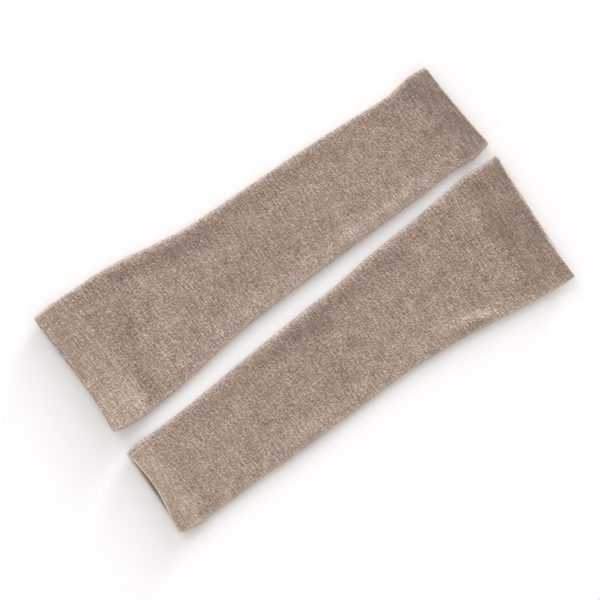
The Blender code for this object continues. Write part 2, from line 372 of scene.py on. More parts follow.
def curve_values(xs, ys, x):
    """A smooth curve through points, read at every value of x."""
    xs, ys = np.array(xs), np.array(ys)
    slopes = np.diff(ys) / np.diff(xs)
    before, after = slopes[:-1], slopes[1:]
    product = before * after
    total = np.where(np.abs(before + after) < TINY, 1.0, before + after)
    tangents = np.concatenate(([slopes[0]], np.where(product > 0, 2 * product / total, 0.0), [slopes[-1]]))
    x = np.clip(x, xs[0], xs[-1])
    i = np.clip(np.searchsorted(xs, x, side="left") - 1, 0, len(xs) - 2)
    width = xs[i + 1] - xs[i]
    t = (x - xs[i]) / width
    start = (2 * t**3 - 3 * t**2 + 1) * ys[i] + (t**3 - 2 * t**2 + t) * width * tangents[i]
    return start + (3 * t**2 - 2 * t**3) * ys[i + 1] + (t**3 - t**2) * width * tangents[i + 1]


def sections_at(leg, along):
    """The named columns of the leg's sections at each distance from the calf edge."""
    xs = [row.along * MM for row in leg.sections]
    columns = [[value * MM for value in column] for column in list(zip(*leg.sections))[1:]]
    return Section(along, *(curve_values(xs, column, along) for column in columns))


def from_middle_of(mark, along, across):
    """Distances from the middle of a crease or patch: along its heading, and off to its left."""
    heading = math.radians(mark.heading)
    dx, dy = along - mark.along * MM, across - mark.across * MM
    run = dx * math.cos(heading) + dy * math.sin(heading)
    off = dy * math.cos(heading) - dx * math.sin(heading)
    return run, off


def crease_height(creases, along, across):
    """Long soft ridges, and troughs where the height is below none."""
    total = np.zeros(np.broadcast(along, across).shape)
    for crease in creases:
        run, off = from_middle_of(crease, along, across)
        off = off + CREASE_SWAY * np.sin(run / (crease.length * MM) * CREASE_BENDS + crease.along)
        total += crease.height * MM * bell(run, crease.length * MM / 2) * bell(off, crease.width * MM)
    return total


def patch_light_and_shade(leg, along, across):
    """Painted light and shade: soft lighter and darker places on the yarn."""
    total = np.zeros(np.broadcast(along, across).shape)
    for patch in leg.patches:
        run, off = from_middle_of(patch, along, across)
        total += patch.tone * bell(run, patch.reach_along * MM) * bell(off, patch.reach_across * MM)
    return total


def bump_height(bumps, along, across):
    """Round bumps, and dents where the height is below none."""
    total = np.zeros(np.broadcast(along, across).shape)
    for bump in bumps:
        run = bell(along - bump.along * MM, bump.reach_along * MM)
        side = bell(across - bump.across * MM, bump.reach_across * MM)
        total += bump.height * MM * run * side
    return total


def noise_places(along, across, upper):
    """Where each point reads the noise, with the two panels a little apart."""
    return np.stack(np.broadcast_arrays(along, across, upper * NOISE_PANELS_APART), axis=-1)


def noise_at(places, scale, seed):
    """Smooth noise from -1 to 1 at each place."""
    shift = Vector([seed * part for part in NOISE_SHIFT])
    values = [noise.noise(Vector(place) / scale + shift) for place in places.reshape(-1, 3)]
    return np.array(values).reshape(places.shape[:-1])


def lift_at(leg, along, side):
    calf = np.maximum(1.0 - along / CALF_LIFT_RUN, 0.0) ** 2
    ankle = np.maximum(1.0 - (leg.length - along) / ANKLE_LIFT_RUN, 0.0) ** 2
    left_share = (1.0 + side) / 2
    calf_lift = leg.calf_end.lift_left * left_share + leg.calf_end.lift_right * (1 - left_share)
    ankle_lift = leg.ankle_end.lift_left * left_share + leg.ankle_end.lift_right * (1 - left_share)
    return (calf * calf_lift + ankle * ankle_lift) * MM


def edge_shift(leg, along, side, upper):
    """How far the shape of the nearer edge moves a point along the tube."""
    shift = 0.0
    for end, distance, inward in ((leg.calf_end, along, 1), (leg.ankle_end, leg.length - along, -1)):
        middle = 1.0 - side**2
        bow = end.bow * middle * (1.0 + end.bow_lean * side)
        whole_edge = fade(distance, EDGE_SHAPE_RUN) * (end.skew * side + inward * bow)
        mouth = np.maximum(1.0 - ((side - end.mouth_middle) / end.mouth_reach) ** 2, 0.0)
        upper_lip = fade(distance, LIP_RUN) * inward * end.upper_set_back * mouth * upper
        shift = shift + (whole_edge + upper_lip) * MM
    return shift


def cuff_wall(distance_from_seam):
    return CUFF_WALL + (CUFF_WALL_AT_SEAM - CUFF_WALL) * bell(distance_from_seam, SEAM_PRESS_RUN)


def hem_distance(leg, along):
    """Distance to the nearer hem seam."""
    return np.minimum(np.abs(along - CALF_CUFF_DEPTH), np.abs(along - (leg.length - ANKLE_CUFF_DEPTH)))


# For every step round a section: which part of it, and the share of the way along that part.
PART_AT = np.repeat(list(AROUND_STEPS), list(AROUND_STEPS.values()))
SHARE_AT = np.concatenate([np.arange(count) / count for count in AROUND_STEPS.values()])


def eased(share):
    """Steps that lie closer together near both side folds."""
    return EVEN_SHARE * share + EASED_SHARE * (1.0 - np.cos(np.pi * share)) / 2


def tube_rings(leg, along, depth):
    """Points of rings round the tube, each at its own distance along and its own depth in the wall.

    The rows of the result are the rings. Returned with them are each point's
    place across the tube and how far it belongs to the upper panel.
    """
    share = SHARE_AT[None, :]
    along = np.asarray(along, float)[:, None]
    depth = np.asarray(depth, float)[:, None]
    section = sections_at(leg, along)
    left_fold, right_fold = section.left_fold / 2, section.right_fold / 2
    left_turn, right_turn = section.left - left_fold, right_fold - section.right
    turn = np.pi * share

    across_bottom = right_turn + (left_turn - right_turn) * eased(share)
    across_top = left_turn + (right_turn - left_turn) * eased(share)
    bottom, left, top, right = (PART_AT == part for part in AROUND_STEPS)
    outline = np.where(bottom, across_bottom, np.where(top, across_top, 0.0))
    outline = np.where(left, left_turn + left_fold * np.sin(turn), outline)
    outline = np.where(right, right_turn - right_fold * np.sin(turn), outline)
    upper = np.where(top, 1.0, np.where(left, share, np.where(right, 1.0 - share, 0.0)))

    depth = depth - tube_relief(leg, along, outline, upper, section)
    left_rise = (section.left_fold - section.middle) * fade(left_turn - across_top, FOLD_SHOULDER)
    right_rise = (section.right_fold - section.middle) * fade(across_top - right_turn, FOLD_SHOULDER)
    top_height = section.middle + left_rise + right_rise

    across = np.where(bottom, across_bottom, across_top)
    across = np.where(left, left_turn + (left_fold - depth) * np.sin(turn), across)
    across = np.where(right, right_turn - (right_fold - depth) * np.sin(turn), across)
    height = np.where(bottom, depth, top_height - depth)
    height = np.where(left, left_fold - (left_fold - depth) * np.cos(turn), height)
    height = np.where(right, right_fold + (right_fold - depth) * np.cos(turn), height)

    side = np.where(across > 0, across / section.left, across / section.right)
    x = along + edge_shift(leg, along, side, upper) - leg.length / 2
    z = height + lift_at(leg, along, side)
    return np.stack((x, across, z), axis=-1), outline, upper


def tube_relief(leg, along, across, upper, section):
    """How far the cloth stands out from its plain form, in metres."""
    clear = 1.0 - fade(section.left - across, FOLD_SHOULDER) - fade(across + section.right, FOLD_SHOULDER)
    on_top = np.clip((upper - 0.5) * 2.0, 0.0, 1.0)
    places = noise_places(along, across, upper)
    return sum((
        on_top * np.maximum(clear, 0.0) * bump_height(leg.swells, along, across),
        on_top * bump_height(leg.puckers, along, across),
        on_top * crease_height(leg.creases, along, across),
        (upper <= 0.0) * crease_height(leg.under, along, across),
        *small_wobbles(leg, places, along, upper),
        on_top * fold_ridges(leg, along, across, section),
        hem_step(leg, along, upper),
        hem_puckers(leg, places, along, upper),
    ))


def small_wobbles(leg, places, along, upper):
    """Each layer of the cloth's small unevenness."""
    ends = fade(along, WOBBLE_END_RUN) + fade(leg.length - along, WOBBLE_END_RUN)
    calm = 1.0 - WOBBLE_END_LOSS * np.minimum(ends, 1.0)
    risen = np.clip(upper * WOBBLE_RISE, 0.0, 1.0)
    return [height * noise_at(places, scale, leg.noise_seed) * risen * calm for scale, height in WOBBLES]


def fold_ridges(leg, along, across, section):
    """The ridges beside the left and the right fold."""
    stations, left, right = (np.array(column) * MM for column in leg.ridges)
    from_left, from_right = section.left - across, across + section.right
    left = curve_values(stations, left, along) * bell(from_left - FOLD_RIDGE_INSET, FOLD_RIDGE_REACH)
    right = curve_values(stations, right, along) * bell(from_right - FOLD_RIDGE_INSET, FOLD_RIDGE_REACH)
    return left + right


def hem_step(leg, along, upper):
    """Each cuff stands above the body beside it, with a groove at the seam."""
    into_cuff = np.maximum(CALF_CUFF_DEPTH - along, along - (leg.length - ANKLE_CUFF_DEPTH))
    share = np.clip(into_cuff / HEM_STEP_RUN + 0.5, 0.0, 1.0)
    step = HEM_STEP_HEIGHT * share**2 * (3.0 - 2.0 * share) * bell(into_cuff, HEM_STEP_FADE)
    groove = HEM_GROOVE_DEPTH * bell(hem_distance(leg, along), HEM_GROOVE_REACH)
    return (step - groove) * np.clip(upper * HEM_RISE + HEM_UNDER_SHARE, 0.0, 1.0)


def hem_puckers(leg, places, along, upper):
    """Small gathers on both sides of each hem seam."""
    stretched = places * np.array(PUCKER_STRETCH)
    gathers = noise_at(stretched, PUCKER_SPACING, leg.noise_seed + PUCKER_SEED_SHIFT)
    near_hem = bell(hem_distance(leg, along), PUCKER_REACH)
    return PUCKER_HEIGHT * gathers * near_hem * np.clip(upper * WOBBLE_RISE, 0.0, 1.0)


# ---- meshes

Profile = namedtuple("Profile", "along depth inner")


def body_profile(leg):
    """The wall of a body, read out along its outer face and back along its inner one."""
    start, end = CALF_CUFF_DEPTH, leg.length - ANKLE_CUFF_DEPTH
    outer = np.linspace(start, end, round((end - start) / STEP_ALONG_BODY) + 1)
    inner = outer[::-BODY_INNER_SHARE]
    along = np.concatenate((outer, inner))
    depth = np.concatenate((np.zeros(len(outer)), np.full(len(inner), BODY_WALL)))
    return Profile(along, depth, np.arange(len(along)) >= len(outer))


def cuff_profile(seam, edge):
    """The wall of a cuff: out to its rounded lip along its outer face, and back inside."""
    towards_edge = 1.0 if edge > seam else -1.0
    lip = CUFF_WALL / 2
    run = abs(edge - seam) - lip
    outer = np.linspace(0.0, run, round(run / STEP_ALONG_CUFF) + 1)
    turn = np.pi * np.arange(1, LIP_STEPS) / LIP_STEPS
    inner = outer[::-CUFF_INNER_SHARE]
    distance = np.concatenate((outer, run + lip * np.sin(turn), inner))
    depth = np.concatenate((np.zeros(len(outer)), lip - lip * np.cos(turn), cuff_wall(inner)))
    inside = np.arange(len(distance)) >= len(outer) + (LIP_STEPS - 1) / 2
    return Profile(seam + towards_edge * distance, depth, inside)


def close_panels(points, inner):
    """Keeps the upper panel's inner face just clear of the lower panel's."""
    bottom, top = (np.nonzero(PART_AT == part)[0] for part in ("bottom", "top"))
    for row in np.nonzero(inner)[0]:
        order = bottom[np.argsort(points[row, bottom, 1])]
        floor_there = np.interp(points[row, top, 1], points[row, order, 1], points[row, order, 2])
        points[row, top, 2] = np.maximum(points[row, top, 2], floor_there + PANEL_GAP)


def grid_quads(rows, columns, flipped):
    """Rows and columns of the four corners of every face of a wall that closes both ways."""
    row = np.repeat(np.arange(rows), columns)
    column = np.tile(np.arange(columns), rows)
    after = (row + 1) % rows
    quads = [(row, column), (row, column + 1), (after, column + 1), (after, column)]
    return quads[::-1] if flipped else quads


def ring_closed(values):
    """Repeats the first column at the end, where each ring closes."""
    return np.concatenate((values, values[:, :1]), axis=1)


def values_of(items, attribute, width=1, kind=float):
    """One value, or one row of values, of every item."""
    values = np.empty(len(items) * width, dtype=kind)
    items.foreach_get(attribute, values)
    return values.reshape(-1, width) if width > 1 else values


def write_uvs(mesh, name, quads, first, second):
    layer = mesh.uv_layers.new(name=name)
    corners = [np.stack((first[corner], second[corner]), -1) for corner in quads]
    layer.data.foreach_set("uv", np.stack(corners, 1).reshape(-1))


def write_knit_uvs(mesh, leg, profile, quads, points):
    """The knit's own grid: metres along the tube, and metres round it as at its middle."""
    steps = np.linalg.norm(np.roll(points, -1, axis=1) - points, axis=-1)
    travelled = np.concatenate((np.zeros((len(points), 1)), np.cumsum(steps, axis=1)), axis=1)
    round_grid = travelled / travelled[:, -1:] * ROUND_AT_MIDDLE + leg.knit_start
    along_grid = np.repeat(profile.along[:, None], round_grid.shape[1], axis=1)
    write_uvs(mesh, "Knit", quads, along_grid, round_grid)


def lip_wear(leg, along, side, faces_up):
    """Painted highlight at both edges, at the middle and towards the sides of each."""
    total = np.zeros(side.shape)
    for wear, distance in zip(leg.lip_wear, (along, leg.length - along)):
        across_lip = wear.middle + (wear.sides - wear.middle) * side**2
        total += across_lip * bell(distance, LIP_HIGHLIGHT_REACH)
    return total * np.clip(faces_up / LIP_HIGHLIGHT_FULL_AT, 0.0, 1.0)


def fold_wear(leg, section, across, faces_up):
    """Painted highlight along the left and the right fold."""
    left_highlight, right_highlight = leg.fold_wear
    total = left_highlight * bell(np.maximum(section.left - across, 0.0), FOLD_HIGHLIGHT_REACH)
    total += right_highlight * bell(np.maximum(across + section.right, 0.0), FOLD_HIGHLIGHT_REACH)
    return total * np.clip(faces_up / FOLD_HIGHLIGHT_FULL_AT, 0.0, 1.0)


def write_painted_light_uvs(mesh, leg, profile, quads, rings):
    """Painted highlights of lips and hems in one map, painted highlights of folds and the painted light and
    shade of each patch in the other.
    """
    points, outline, upper = rings
    faces_up = values_of(mesh.vertices, "normal", 3).reshape(points.shape)[:, :, 2]
    along, across = profile.along[:, None], points[:, :, 1]
    section = sections_at(leg, along)
    side = across / np.where(across > 0, section.left, section.right)
    # Painted highlights at lips, hems and folds, and the painted light and shade of each patch.
    lip = lip_wear(leg, along, side, faces_up)
    hem = np.broadcast_to(bell(hem_distance(leg, along), HEM_HIGHLIGHT_REACH), across.shape)
    outside_above = (upper > 0.5) * (1.0 - profile.inner[:, None])
    fold = fold_wear(leg, section, across, faces_up) * outside_above
    patch = patch_light_and_shade(leg, along, outline) * (upper > SHADING_PATCHES_ABOVE)
    write_uvs(mesh, "Wear", quads, ring_closed(lip), ring_closed(hem))
    write_uvs(mesh, "FoldHighlightPatchShade", quads, ring_closed(fold), ring_closed(patch))


def cloth_mesh(name, leg, profile):
    """A closed wall of cloth, with the knit's own grid, its painted highlights and its painted light and
    shade as UV maps.
    """
    rings = tube_rings(leg, profile.along, profile.depth)
    points = rings[0]
    close_panels(points, profile.inner)
    rows, columns = points.shape[:2]
    quads = grid_quads(rows, columns, flipped=profile.along[1] < profile.along[0])
    corners = np.stack([row * columns + column % columns for row, column in quads], axis=-1)
    mesh = bpy.data.meshes.new(name)
    mesh.from_pydata(points.reshape(-1, 3).tolist(), [], corners.tolist())
    write_knit_uvs(mesh, leg, profile, quads, points)
    write_painted_light_uvs(mesh, leg, profile, quads, rings)
    mesh.shade_smooth()
    mesh.set_sharp_from_angle(angle=math.radians(SHARP_DEGREES))
    mesh.update()
    return mesh


def new_object(name, data):
    item = bpy.data.objects.new(name, data)
    bpy.context.scene.collection.objects.link(item)
    return item


def add_piece(mesh, leg, material):
    item = new_object(mesh.name, mesh)
    mesh.materials.append(material)
    item.location = (leg.placing.along, leg.placing.across, 0.0)
    item.rotation_euler = (0.0, 0.0, math.radians(leg.placing.turn_degrees))
    bpy.context.view_layer.update()
    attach(item, "root")
    return item


# ---- sewing and nap

def upper_surface(leg, along, across, lift):
    """Points on the upper side of the tube, each at its own place along and across."""
    rings, _, upper = tube_rings(leg, along, np.full(len(along), -lift))
    found = []
    for ring, wanted in zip(rings[:, upper[0] >= 0.5], across):
        ring = ring[np.argsort(ring[:, 1])]
        x = np.interp(wanted, ring[:, 1], ring[:, 0])
        z = np.interp(wanted, ring[:, 1], ring[:, 2])
        found.append((x, wanted, z))
    return np.array(found)


def unit(vectors):
    return vectors / np.maximum(np.linalg.norm(vectors, axis=-1, keepdims=True), TINY)


def tubes_mesh(name, paths, radii, ups, sides, uvs):
    """Closed tubes, one for each row of points, each with the same radii along it."""
    count, steps = paths.shape[:2]
    run = unit(np.gradient(paths, axis=1))
    side = unit(np.cross(run, ups[:, None, :]))
    up = np.cross(side, run)
    turn = 2 * np.pi * np.arange(sides) / sides
    ring = side[:, :, None] * np.cos(turn)[:, None] + up[:, :, None] * np.sin(turn)[:, None]
    points = paths[:, :, None] + ring * radii[None, :, None, None]
    index = np.arange(count * steps * sides).reshape(count, steps, sides)
    after = np.roll(index, -1, axis=2)
    walls = np.stack((index[:, :-1], index[:, 1:], after[:, 1:], after[:, :-1]), axis=-1).reshape(-1, 4)
    caps = np.concatenate((index[:, 0], index[:, -1, ::-1]))
    mesh = bpy.data.meshes.new(name)
    mesh.from_pydata(points.reshape(-1, 3).tolist(), [], walls.tolist() + caps.tolist())
    for layer_name, values in uvs.items():
        on_walls = np.repeat(values, (steps - 1) * sides * 4, axis=0)
        on_caps = np.repeat(values, sides, axis=0)
        layer = mesh.uv_layers.new(name=layer_name)
        layer.data.foreach_set("uv", np.concatenate((on_walls, on_caps, on_caps)).reshape(-1))
    mesh.shade_smooth()
    mesh.update()
    return mesh


def on_ring(ring, travelled, place):
    """Points of a ring at distances travelled round it."""
    return np.stack([np.interp(place, travelled, ring[:, axis]) for axis in range(3)], axis=-1)


def hem_stitches(leg, name, seam):
    """Small slanted stitches all round the tube, over the hem's groove."""
    around, _, upper = tube_rings(leg, [seam], [0.0])
    ring = np.concatenate((around[0], around[0][:1]))
    upper = ring_closed(upper)[0]
    travelled = np.concatenate(([0.0], np.cumsum(np.linalg.norm(np.diff(ring, axis=0), axis=1))))
    count = round(travelled[-1] / HEM_STITCH_GAP)
    share = HEM_STITCH_PLACES
    paths, ups = [], []
    for middle in (np.arange(count) + 0.5) * travelled[-1] / count:
        path = on_ring(ring, travelled, middle + HEM_STITCH_SLANT * share)
        path[:, 0] += HEM_STITCH_HALF_WIDTH * share
        ahead = on_ring(ring, travelled, middle + HEM_TANGENT_STEP)
        behind = on_ring(ring, travelled, middle - HEM_TANGENT_STEP)
        outward = unit(np.cross(ahead - behind, (1.0, 0.0, 0.0)))
        rests = np.interp(middle, travelled, upper) < UNDERSIDE_BELOW
        stands = HEM_STITCH_STANDS * (1.0 - share**2) - THREAD_SUNK * share**4 - rests * HEM_STITCH_RADIUS * 2
        paths.append(path + stands[:, None] * outward)
        ups.append(outward)
    paths = np.array(paths)
    radii = HEM_STITCH_RADIUS * HEM_STITCH_TAPER
    return tubes_mesh(name, paths, radii, np.array(ups), THREAD_SIDES, {"Knit": paths[:, 2, :2]})


def on_seam(seam, share):
    """Distances along and across, in metres, at a share of the way from the seam's start."""
    along = (seam.start_along + (seam.end_along - seam.start_along) * share) * MM
    across = (seam.start_across + (seam.end_across - seam.start_across) * share) * MM
    return along, across


def seam_thread(leg, name, seam):
    """One thread laid along the seam at the ankle edge."""
    share = np.linspace(0.0, 1.0, SEAM_THREAD_POINTS)
    path = upper_surface(leg, *on_seam(seam, share), SEAM_THREAD_RADIUS * SEAM_THREAD_LIFT)[None]
    radii = SEAM_THREAD_RADIUS * (1.0 - SEAM_THREAD_THINS * share)
    radii[[0, -1]] *= SEAM_THREAD_TIP
    up = np.array([[0.0, 0.0, 1.0]])
    return tubes_mesh(name, path, radii, up, SEAM_THREAD_SIDES, {"Knit": path[:, 0, :2]})


def overcast_threads(leg, name, seam):
    """Short threads side by side from the seam over the edge of the fold."""
    run = abs(seam.end_along - seam.start_along) * MM
    points = len(OVERCAST_TAPER)
    paths = []
    for i in range(int(run / OVERCAST_PITCH)):
        along, across = on_seam(seam, (i + 0.5) * OVERCAST_PITCH / run)
        reach = across - seam.width * MM * np.linspace(0.0, 1.0, points)
        paths.append(upper_surface(leg, np.full(points, along), reach, OVERCAST_RADIUS * OVERCAST_LIFT))
    paths = np.array(paths)
    ups = np.tile((0.0, 0.0, 1.0), (len(paths), 1))
    radii = OVERCAST_RADIUS * OVERCAST_TAPER
    return tubes_mesh(name, paths, radii, ups, THREAD_SIDES, {"Knit": paths[:, 2, :2]})


def hair_density(leg, centres, normals):
    """Fibre ends for each area of cloth: more by the folds and lips, none underneath."""
    along = centres[:, 0] + leg.length / 2
    section = sections_at(leg, along)
    from_edge = np.minimum(section.left - centres[:, 1], centres[:, 1] + section.right)
    from_edge = np.minimum(from_edge, np.minimum(along, leg.length - along))
    density = HAIRS_PER_AREA * (1.0 + EDGE_HAIR_GAIN * bell(np.maximum(from_edge, 0.0), EDGE_HAIR_REACH))
    return np.where(normals[:, 2] > HAIRS_FACE_ABOVE, density, 0.0)


def nap_mesh(name, leg, cloth, outer_faces, seed):
    """Loose fibre ends on the outer side of a piece, in the colour of the yarn they leave, painted highlights
    and painted shade included.
    """
    draw = np.random.default_rng(seed)
    faces = cloth.polygons
    centres = values_of(faces, "center", 3)[:outer_faces]
    normals = values_of(faces, "normal", 3)[:outer_faces]
    areas = values_of(faces, "area")[:outer_faces]
    starts = values_of(faces, "loop_start", kind=np.int32)
    wanted = hair_density(leg, centres, normals) * areas
    picked = np.nonzero(draw.random(outer_faces) < wanted)[0]

    root, out = centres[picked], normals[picked]
    spread = np.sqrt(areas[picked])[:, None] * HAIR_SCATTER
    lean = unit(out + draw.normal(0.0, HAIR_LEAN, root.shape))
    bend = unit(lean + draw.normal(0.0, HAIR_BEND, root.shape))
    length = draw.uniform(*HAIR_LENGTHS, len(picked))[:, None]
    root = root + np.cross(out, lean) * spread
    middle = root + lean * length * 0.5
    tip = middle + bend * length * 0.5
    paths = np.stack((root - out * HAIR_ROOT_DEPTH, root + lean * length * HAIR_NECK, middle, tip), axis=1)
    paths[..., 2] = np.maximum(paths[..., 2], HAIR_RADIUS * 2)
    uvs = {layer.name: values_of(layer.data, "uv", 2)[starts[picked]] for layer in cloth.uv_layers}
    ups = unit(np.cross(lean, bend) + HAIR_UP_NUDGE)
    return tubes_mesh(name, paths, HAIR_RADIUS * HAIR_TAPER, ups, HAIR_SIDES, uvs)


# ---- materials

class Nodes:
    """Small helpers that add and join a material's nodes."""

    def __init__(self, tree):
        self.tree = tree

    def add(self, kind, settings=None, **inputs):
        made = self.tree.nodes.new(kind)
        for key, value in (settings or {}).items():
            setattr(made, key, value)
        for key, value in inputs.items():
            socket = made.inputs[int(key[1:])] if key[0] == "i" and key[1:].isdigit() else made.inputs[key]
            self.put(socket, value)
        return made

    def put(self, socket, value):
        if isinstance(value, bpy.types.NodeSocket):
            self.tree.links.new(value, socket)
        else:
            socket.default_value = value

    def math(self, operation, first, second=0.0, third=0.0):
        made = self.add("ShaderNodeMath", {"operation": operation}, i0=first, i1=second, i2=third)
        return made.outputs[0]

    def vector(self, x, y, z=0.0):
        return self.add("ShaderNodeCombineXYZ", None, X=x, Y=y, Z=z).outputs[0]

    def noise(self, vector, scale=1.0, detail=2.0, roughness=0.5):
        made = self.add(
            "ShaderNodeTexNoise", None, Vector=vector, Scale=scale, Detail=detail, Roughness=roughness
        )
        return self.math("SUBTRACT", made.outputs[0], 0.5)

    def weighted(self, *terms):
        """The sum of (signal, weight) pairs."""
        total = 0.0
        for signal, weight in terms:
            total = self.math("MULTIPLY_ADD", signal, weight, total)
        return total


def new_material(name, surface):
    """A material, its shader with the surface's values, and helpers for its nodes."""
    material = bpy.data.materials.new(name)
    material.use_nodes = True
    shader = material.node_tree.nodes["Principled BSDF"]
    for socket, value in surface.items():
        shader.inputs[socket].default_value = value
    return material, shader, Nodes(material.node_tree)


KnitLook = namedtuple("KnitLook", "dark middle light")
HEATHER = KnitLook(
    dark=(0.104, 0.067, 0.041),
    middle=(0.311, 0.231, 0.185),
    light=(0.686, 0.563, 0.477),
)
KNIT_SURFACE = {
    "Roughness": 0.93,
    "Specular IOR Level": 0.15,
    "Sheen Weight": 0.35,
    "Sheen Roughness": 0.6,
    "Sheen Tint": (0.95, 0.90, 0.86, 1.0),
}

# How much each kind of yarn variation counts, and how long its streaks are, in metres; groove is painted
# shade between the wales.
KnitTone = namedtuple(
    "KnitTone", "rows row_streak columns column_streak legs leg_streak stitch strand blotch groove"
)
BODY_TONE = KnitTone(
    rows=0.80, row_streak=0.0072, columns=0.62, column_streak=0.0060, legs=0.57, leg_streak=0.0045,
    stitch=0.21, strand=0.42, blotch=0.36, groove=0.025,
)
CUFF_TONE = BODY_TONE._replace(
    rows=0.63, row_streak=0.0110, columns=0.48, legs=0.36, strand=0.36, blotch=0.16
)

# Each line of a streak counts against both of its neighbours, as (neighbour, weight).
STREAK_LINES = ((0.0, 1.0), (-1.0, -0.26), (1.0, -0.26))
STREAK_LINES_APART = 7.31

# How much the stitch's own form, as painted shade in its dips, and each painted-light map's two values count
# in the tone.
STITCH_MEAN = 0.45
STITCH_HEIGHT_SHADE = 0.10
PAINTED_LIGHT_TONES = {"Wear": (0.24, 0.03), "FoldHighlightPatchShade": (0.22, 1.0)}

# How much the waves across the wales and the fibres count in the relief.
GROOVE_RELIEF = 0.35
FIBRE_RELIEF = 0.6

HEM_THREAD_COLOUR = (0.40, 0.31, 0.25)
SEAM_THREAD_COLOUR = (0.76, 0.68, 0.60)
THREAD_DARK_SHARE = 0.72
THREAD_UNEVEN = 1.2
THREAD_SURFACE = {"Roughness": 0.85, "Specular IOR Level": 0.2, "Sheen Weight": 0.3}


class KnitGrid:
    """Where a point of the cloth lies in the knit: its course, its wale and its place in them."""

    def __init__(self, nodes):
        uv = nodes.add("ShaderNodeUVMap", {"uv_map": "Knit"}).outputs[0]
        place = nodes.add("ShaderNodeSeparateXYZ", None, Vector=uv)
        self.uv, self.along, self.across = uv, place.outputs[0], place.outputs[1]
        sway = nodes.noise(uv, scale=SWAY_SCALE, detail=1.0)
        turned = nodes.vector(self.across, self.along, z=4.0)
        sway_across = nodes.noise(turned, scale=SWAY_SCALE, detail=1.0)
        leaned = nodes.math("MULTIPLY_ADD", self.across, -COURSE_LEAN, self.along)
        course_sway = nodes.math("MULTIPLY", sway, COURSE_SWAY)
        wale_sway = nodes.math("MULTIPLY", sway_across, WALE_SWAY)
        course = nodes.math("MULTIPLY_ADD", leaned, 1.0 / COURSE, course_sway)
        self.wale = nodes.math("MULTIPLY_ADD", self.across, WALES_ROUND / ROUND_AT_MIDDLE, wale_sway)
        in_wale = nodes.math("SUBTRACT", nodes.math("FRACT", self.wale), 0.5)
        self.from_middle = nodes.math("ABSOLUTE", in_wale)
        self.course = nodes.math("MULTIPLY_ADD", self.from_middle, COURSE_ZIGZAG, course)
        self.course_number = nodes.math("FLOOR", self.course)
        self.column_number = nodes.math("FLOOR", nodes.math("MULTIPLY", self.wale, 2.0))
        self.leg_run = nodes.weighted((self.along, math.cos(LEG_LEAN)), (self.across, math.sin(LEG_LEAN)))
        across_leg = nodes.weighted((self.along, math.sin(LEG_LEAN)), (self.across, -math.cos(LEG_LEAN)))
        self.leg_number = nodes.math("FLOOR", nodes.math("MULTIPLY", across_leg, 1.0 / LEG_PITCH))


def streaks(nodes, run, line_number, length, seed):
    """Yarn tone in streaks along lines, each line set off against both of its neighbours."""
    terms = []
    for neighbour, weight in STREAK_LINES:
        number = nodes.math("ADD", line_number, neighbour)
        run_place = nodes.math("MULTIPLY", run, 1.0 / length)
        line_place = nodes.math("MULTIPLY", number, STREAK_LINES_APART)
        place = nodes.vector(run_place, line_place, seed)
        terms.append((nodes.noise(place, detail=1.0, roughness=0.6), weight))
    return nodes.weighted(*terms)


def streak_tones(nodes, knit, amounts):
    """Streaks along the rows, the columns and the legs of the stitches."""
    rows = streaks(nodes, knit.across, knit.course_number, amounts.row_streak, seed=1.0)
    columns = streaks(nodes, knit.along, knit.column_number, amounts.column_streak, seed=9.0)
    legs = streaks(nodes, knit.leg_run, knit.leg_number, amounts.leg_streak, seed=17.0)
    return (rows, amounts.rows), (columns, amounts.columns), (legs, amounts.legs)


def stitch_tones(nodes, knit, amounts):
    """A tone for each stitch, and one for each strand in it."""
    stitch_place = nodes.vector(knit.course_number, knit.column_number)
    strand_place = nodes.vector(
        nodes.math("FLOOR", nodes.math("MULTIPLY", knit.course, 2.0)),
        nodes.math("FLOOR", nodes.math("MULTIPLY", knit.wale, 4.0)),
        z=5.0,
    )
    terms = []
    for place, weight in ((stitch_place, amounts.stitch), (strand_place, amounts.strand)):
        random = nodes.add("ShaderNodeTexWhiteNoise", None, Vector=place).outputs[0]
        terms.append((nodes.math("SUBTRACT", random, 0.5), weight))
    return terms


def stitch_form(nodes, knit):
    """Height of the V stitches, and a wave across each wale, highest at its middle."""
    ridge = nodes.math("COSINE", nodes.math("MULTIPLY", nodes.math("FRACT", knit.course), 2 * math.pi))
    ridge = nodes.math("MULTIPLY_ADD", ridge, -0.5, 0.5)
    turn = nodes.math("MULTIPLY", knit.from_middle, 2 * math.pi)
    strand = nodes.math("SINE", turn)
    stitch = nodes.math("MULTIPLY", nodes.math("SQRT", nodes.math("MAXIMUM", ridge, 0.0)), strand)
    return stitch, nodes.math("COSINE", turn)


def painted_light_tones(nodes):
    """Painted highlights at lips, hems and folds, and the painted light and shade of each patch."""
    terms = []
    for layer, weights in PAINTED_LIGHT_TONES.items():
        uv = nodes.add("ShaderNodeUVMap", {"uv_map": layer}).outputs[0]
        values = nodes.add("ShaderNodeSeparateXYZ", None, Vector=uv).outputs
        terms += [(values[i], weight) for i, weight in enumerate(weights)]
    return terms


def yarn_colour(nodes, look, tone):
    """Dark yarn for a tone of -0.5, light yarn for 0.5 and the middle one between them."""
    ramp = nodes.add("ShaderNodeValToRGB", None, i0=nodes.math("ADD", tone, 0.5))
    steps = ramp.color_ramp.elements
    steps[0].color = (*look.dark, 1.0)
    steps[1].color = (*look.light, 1.0)
    steps.new(0.5).color = (*look.middle, 1.0)
    return ramp.outputs[0]


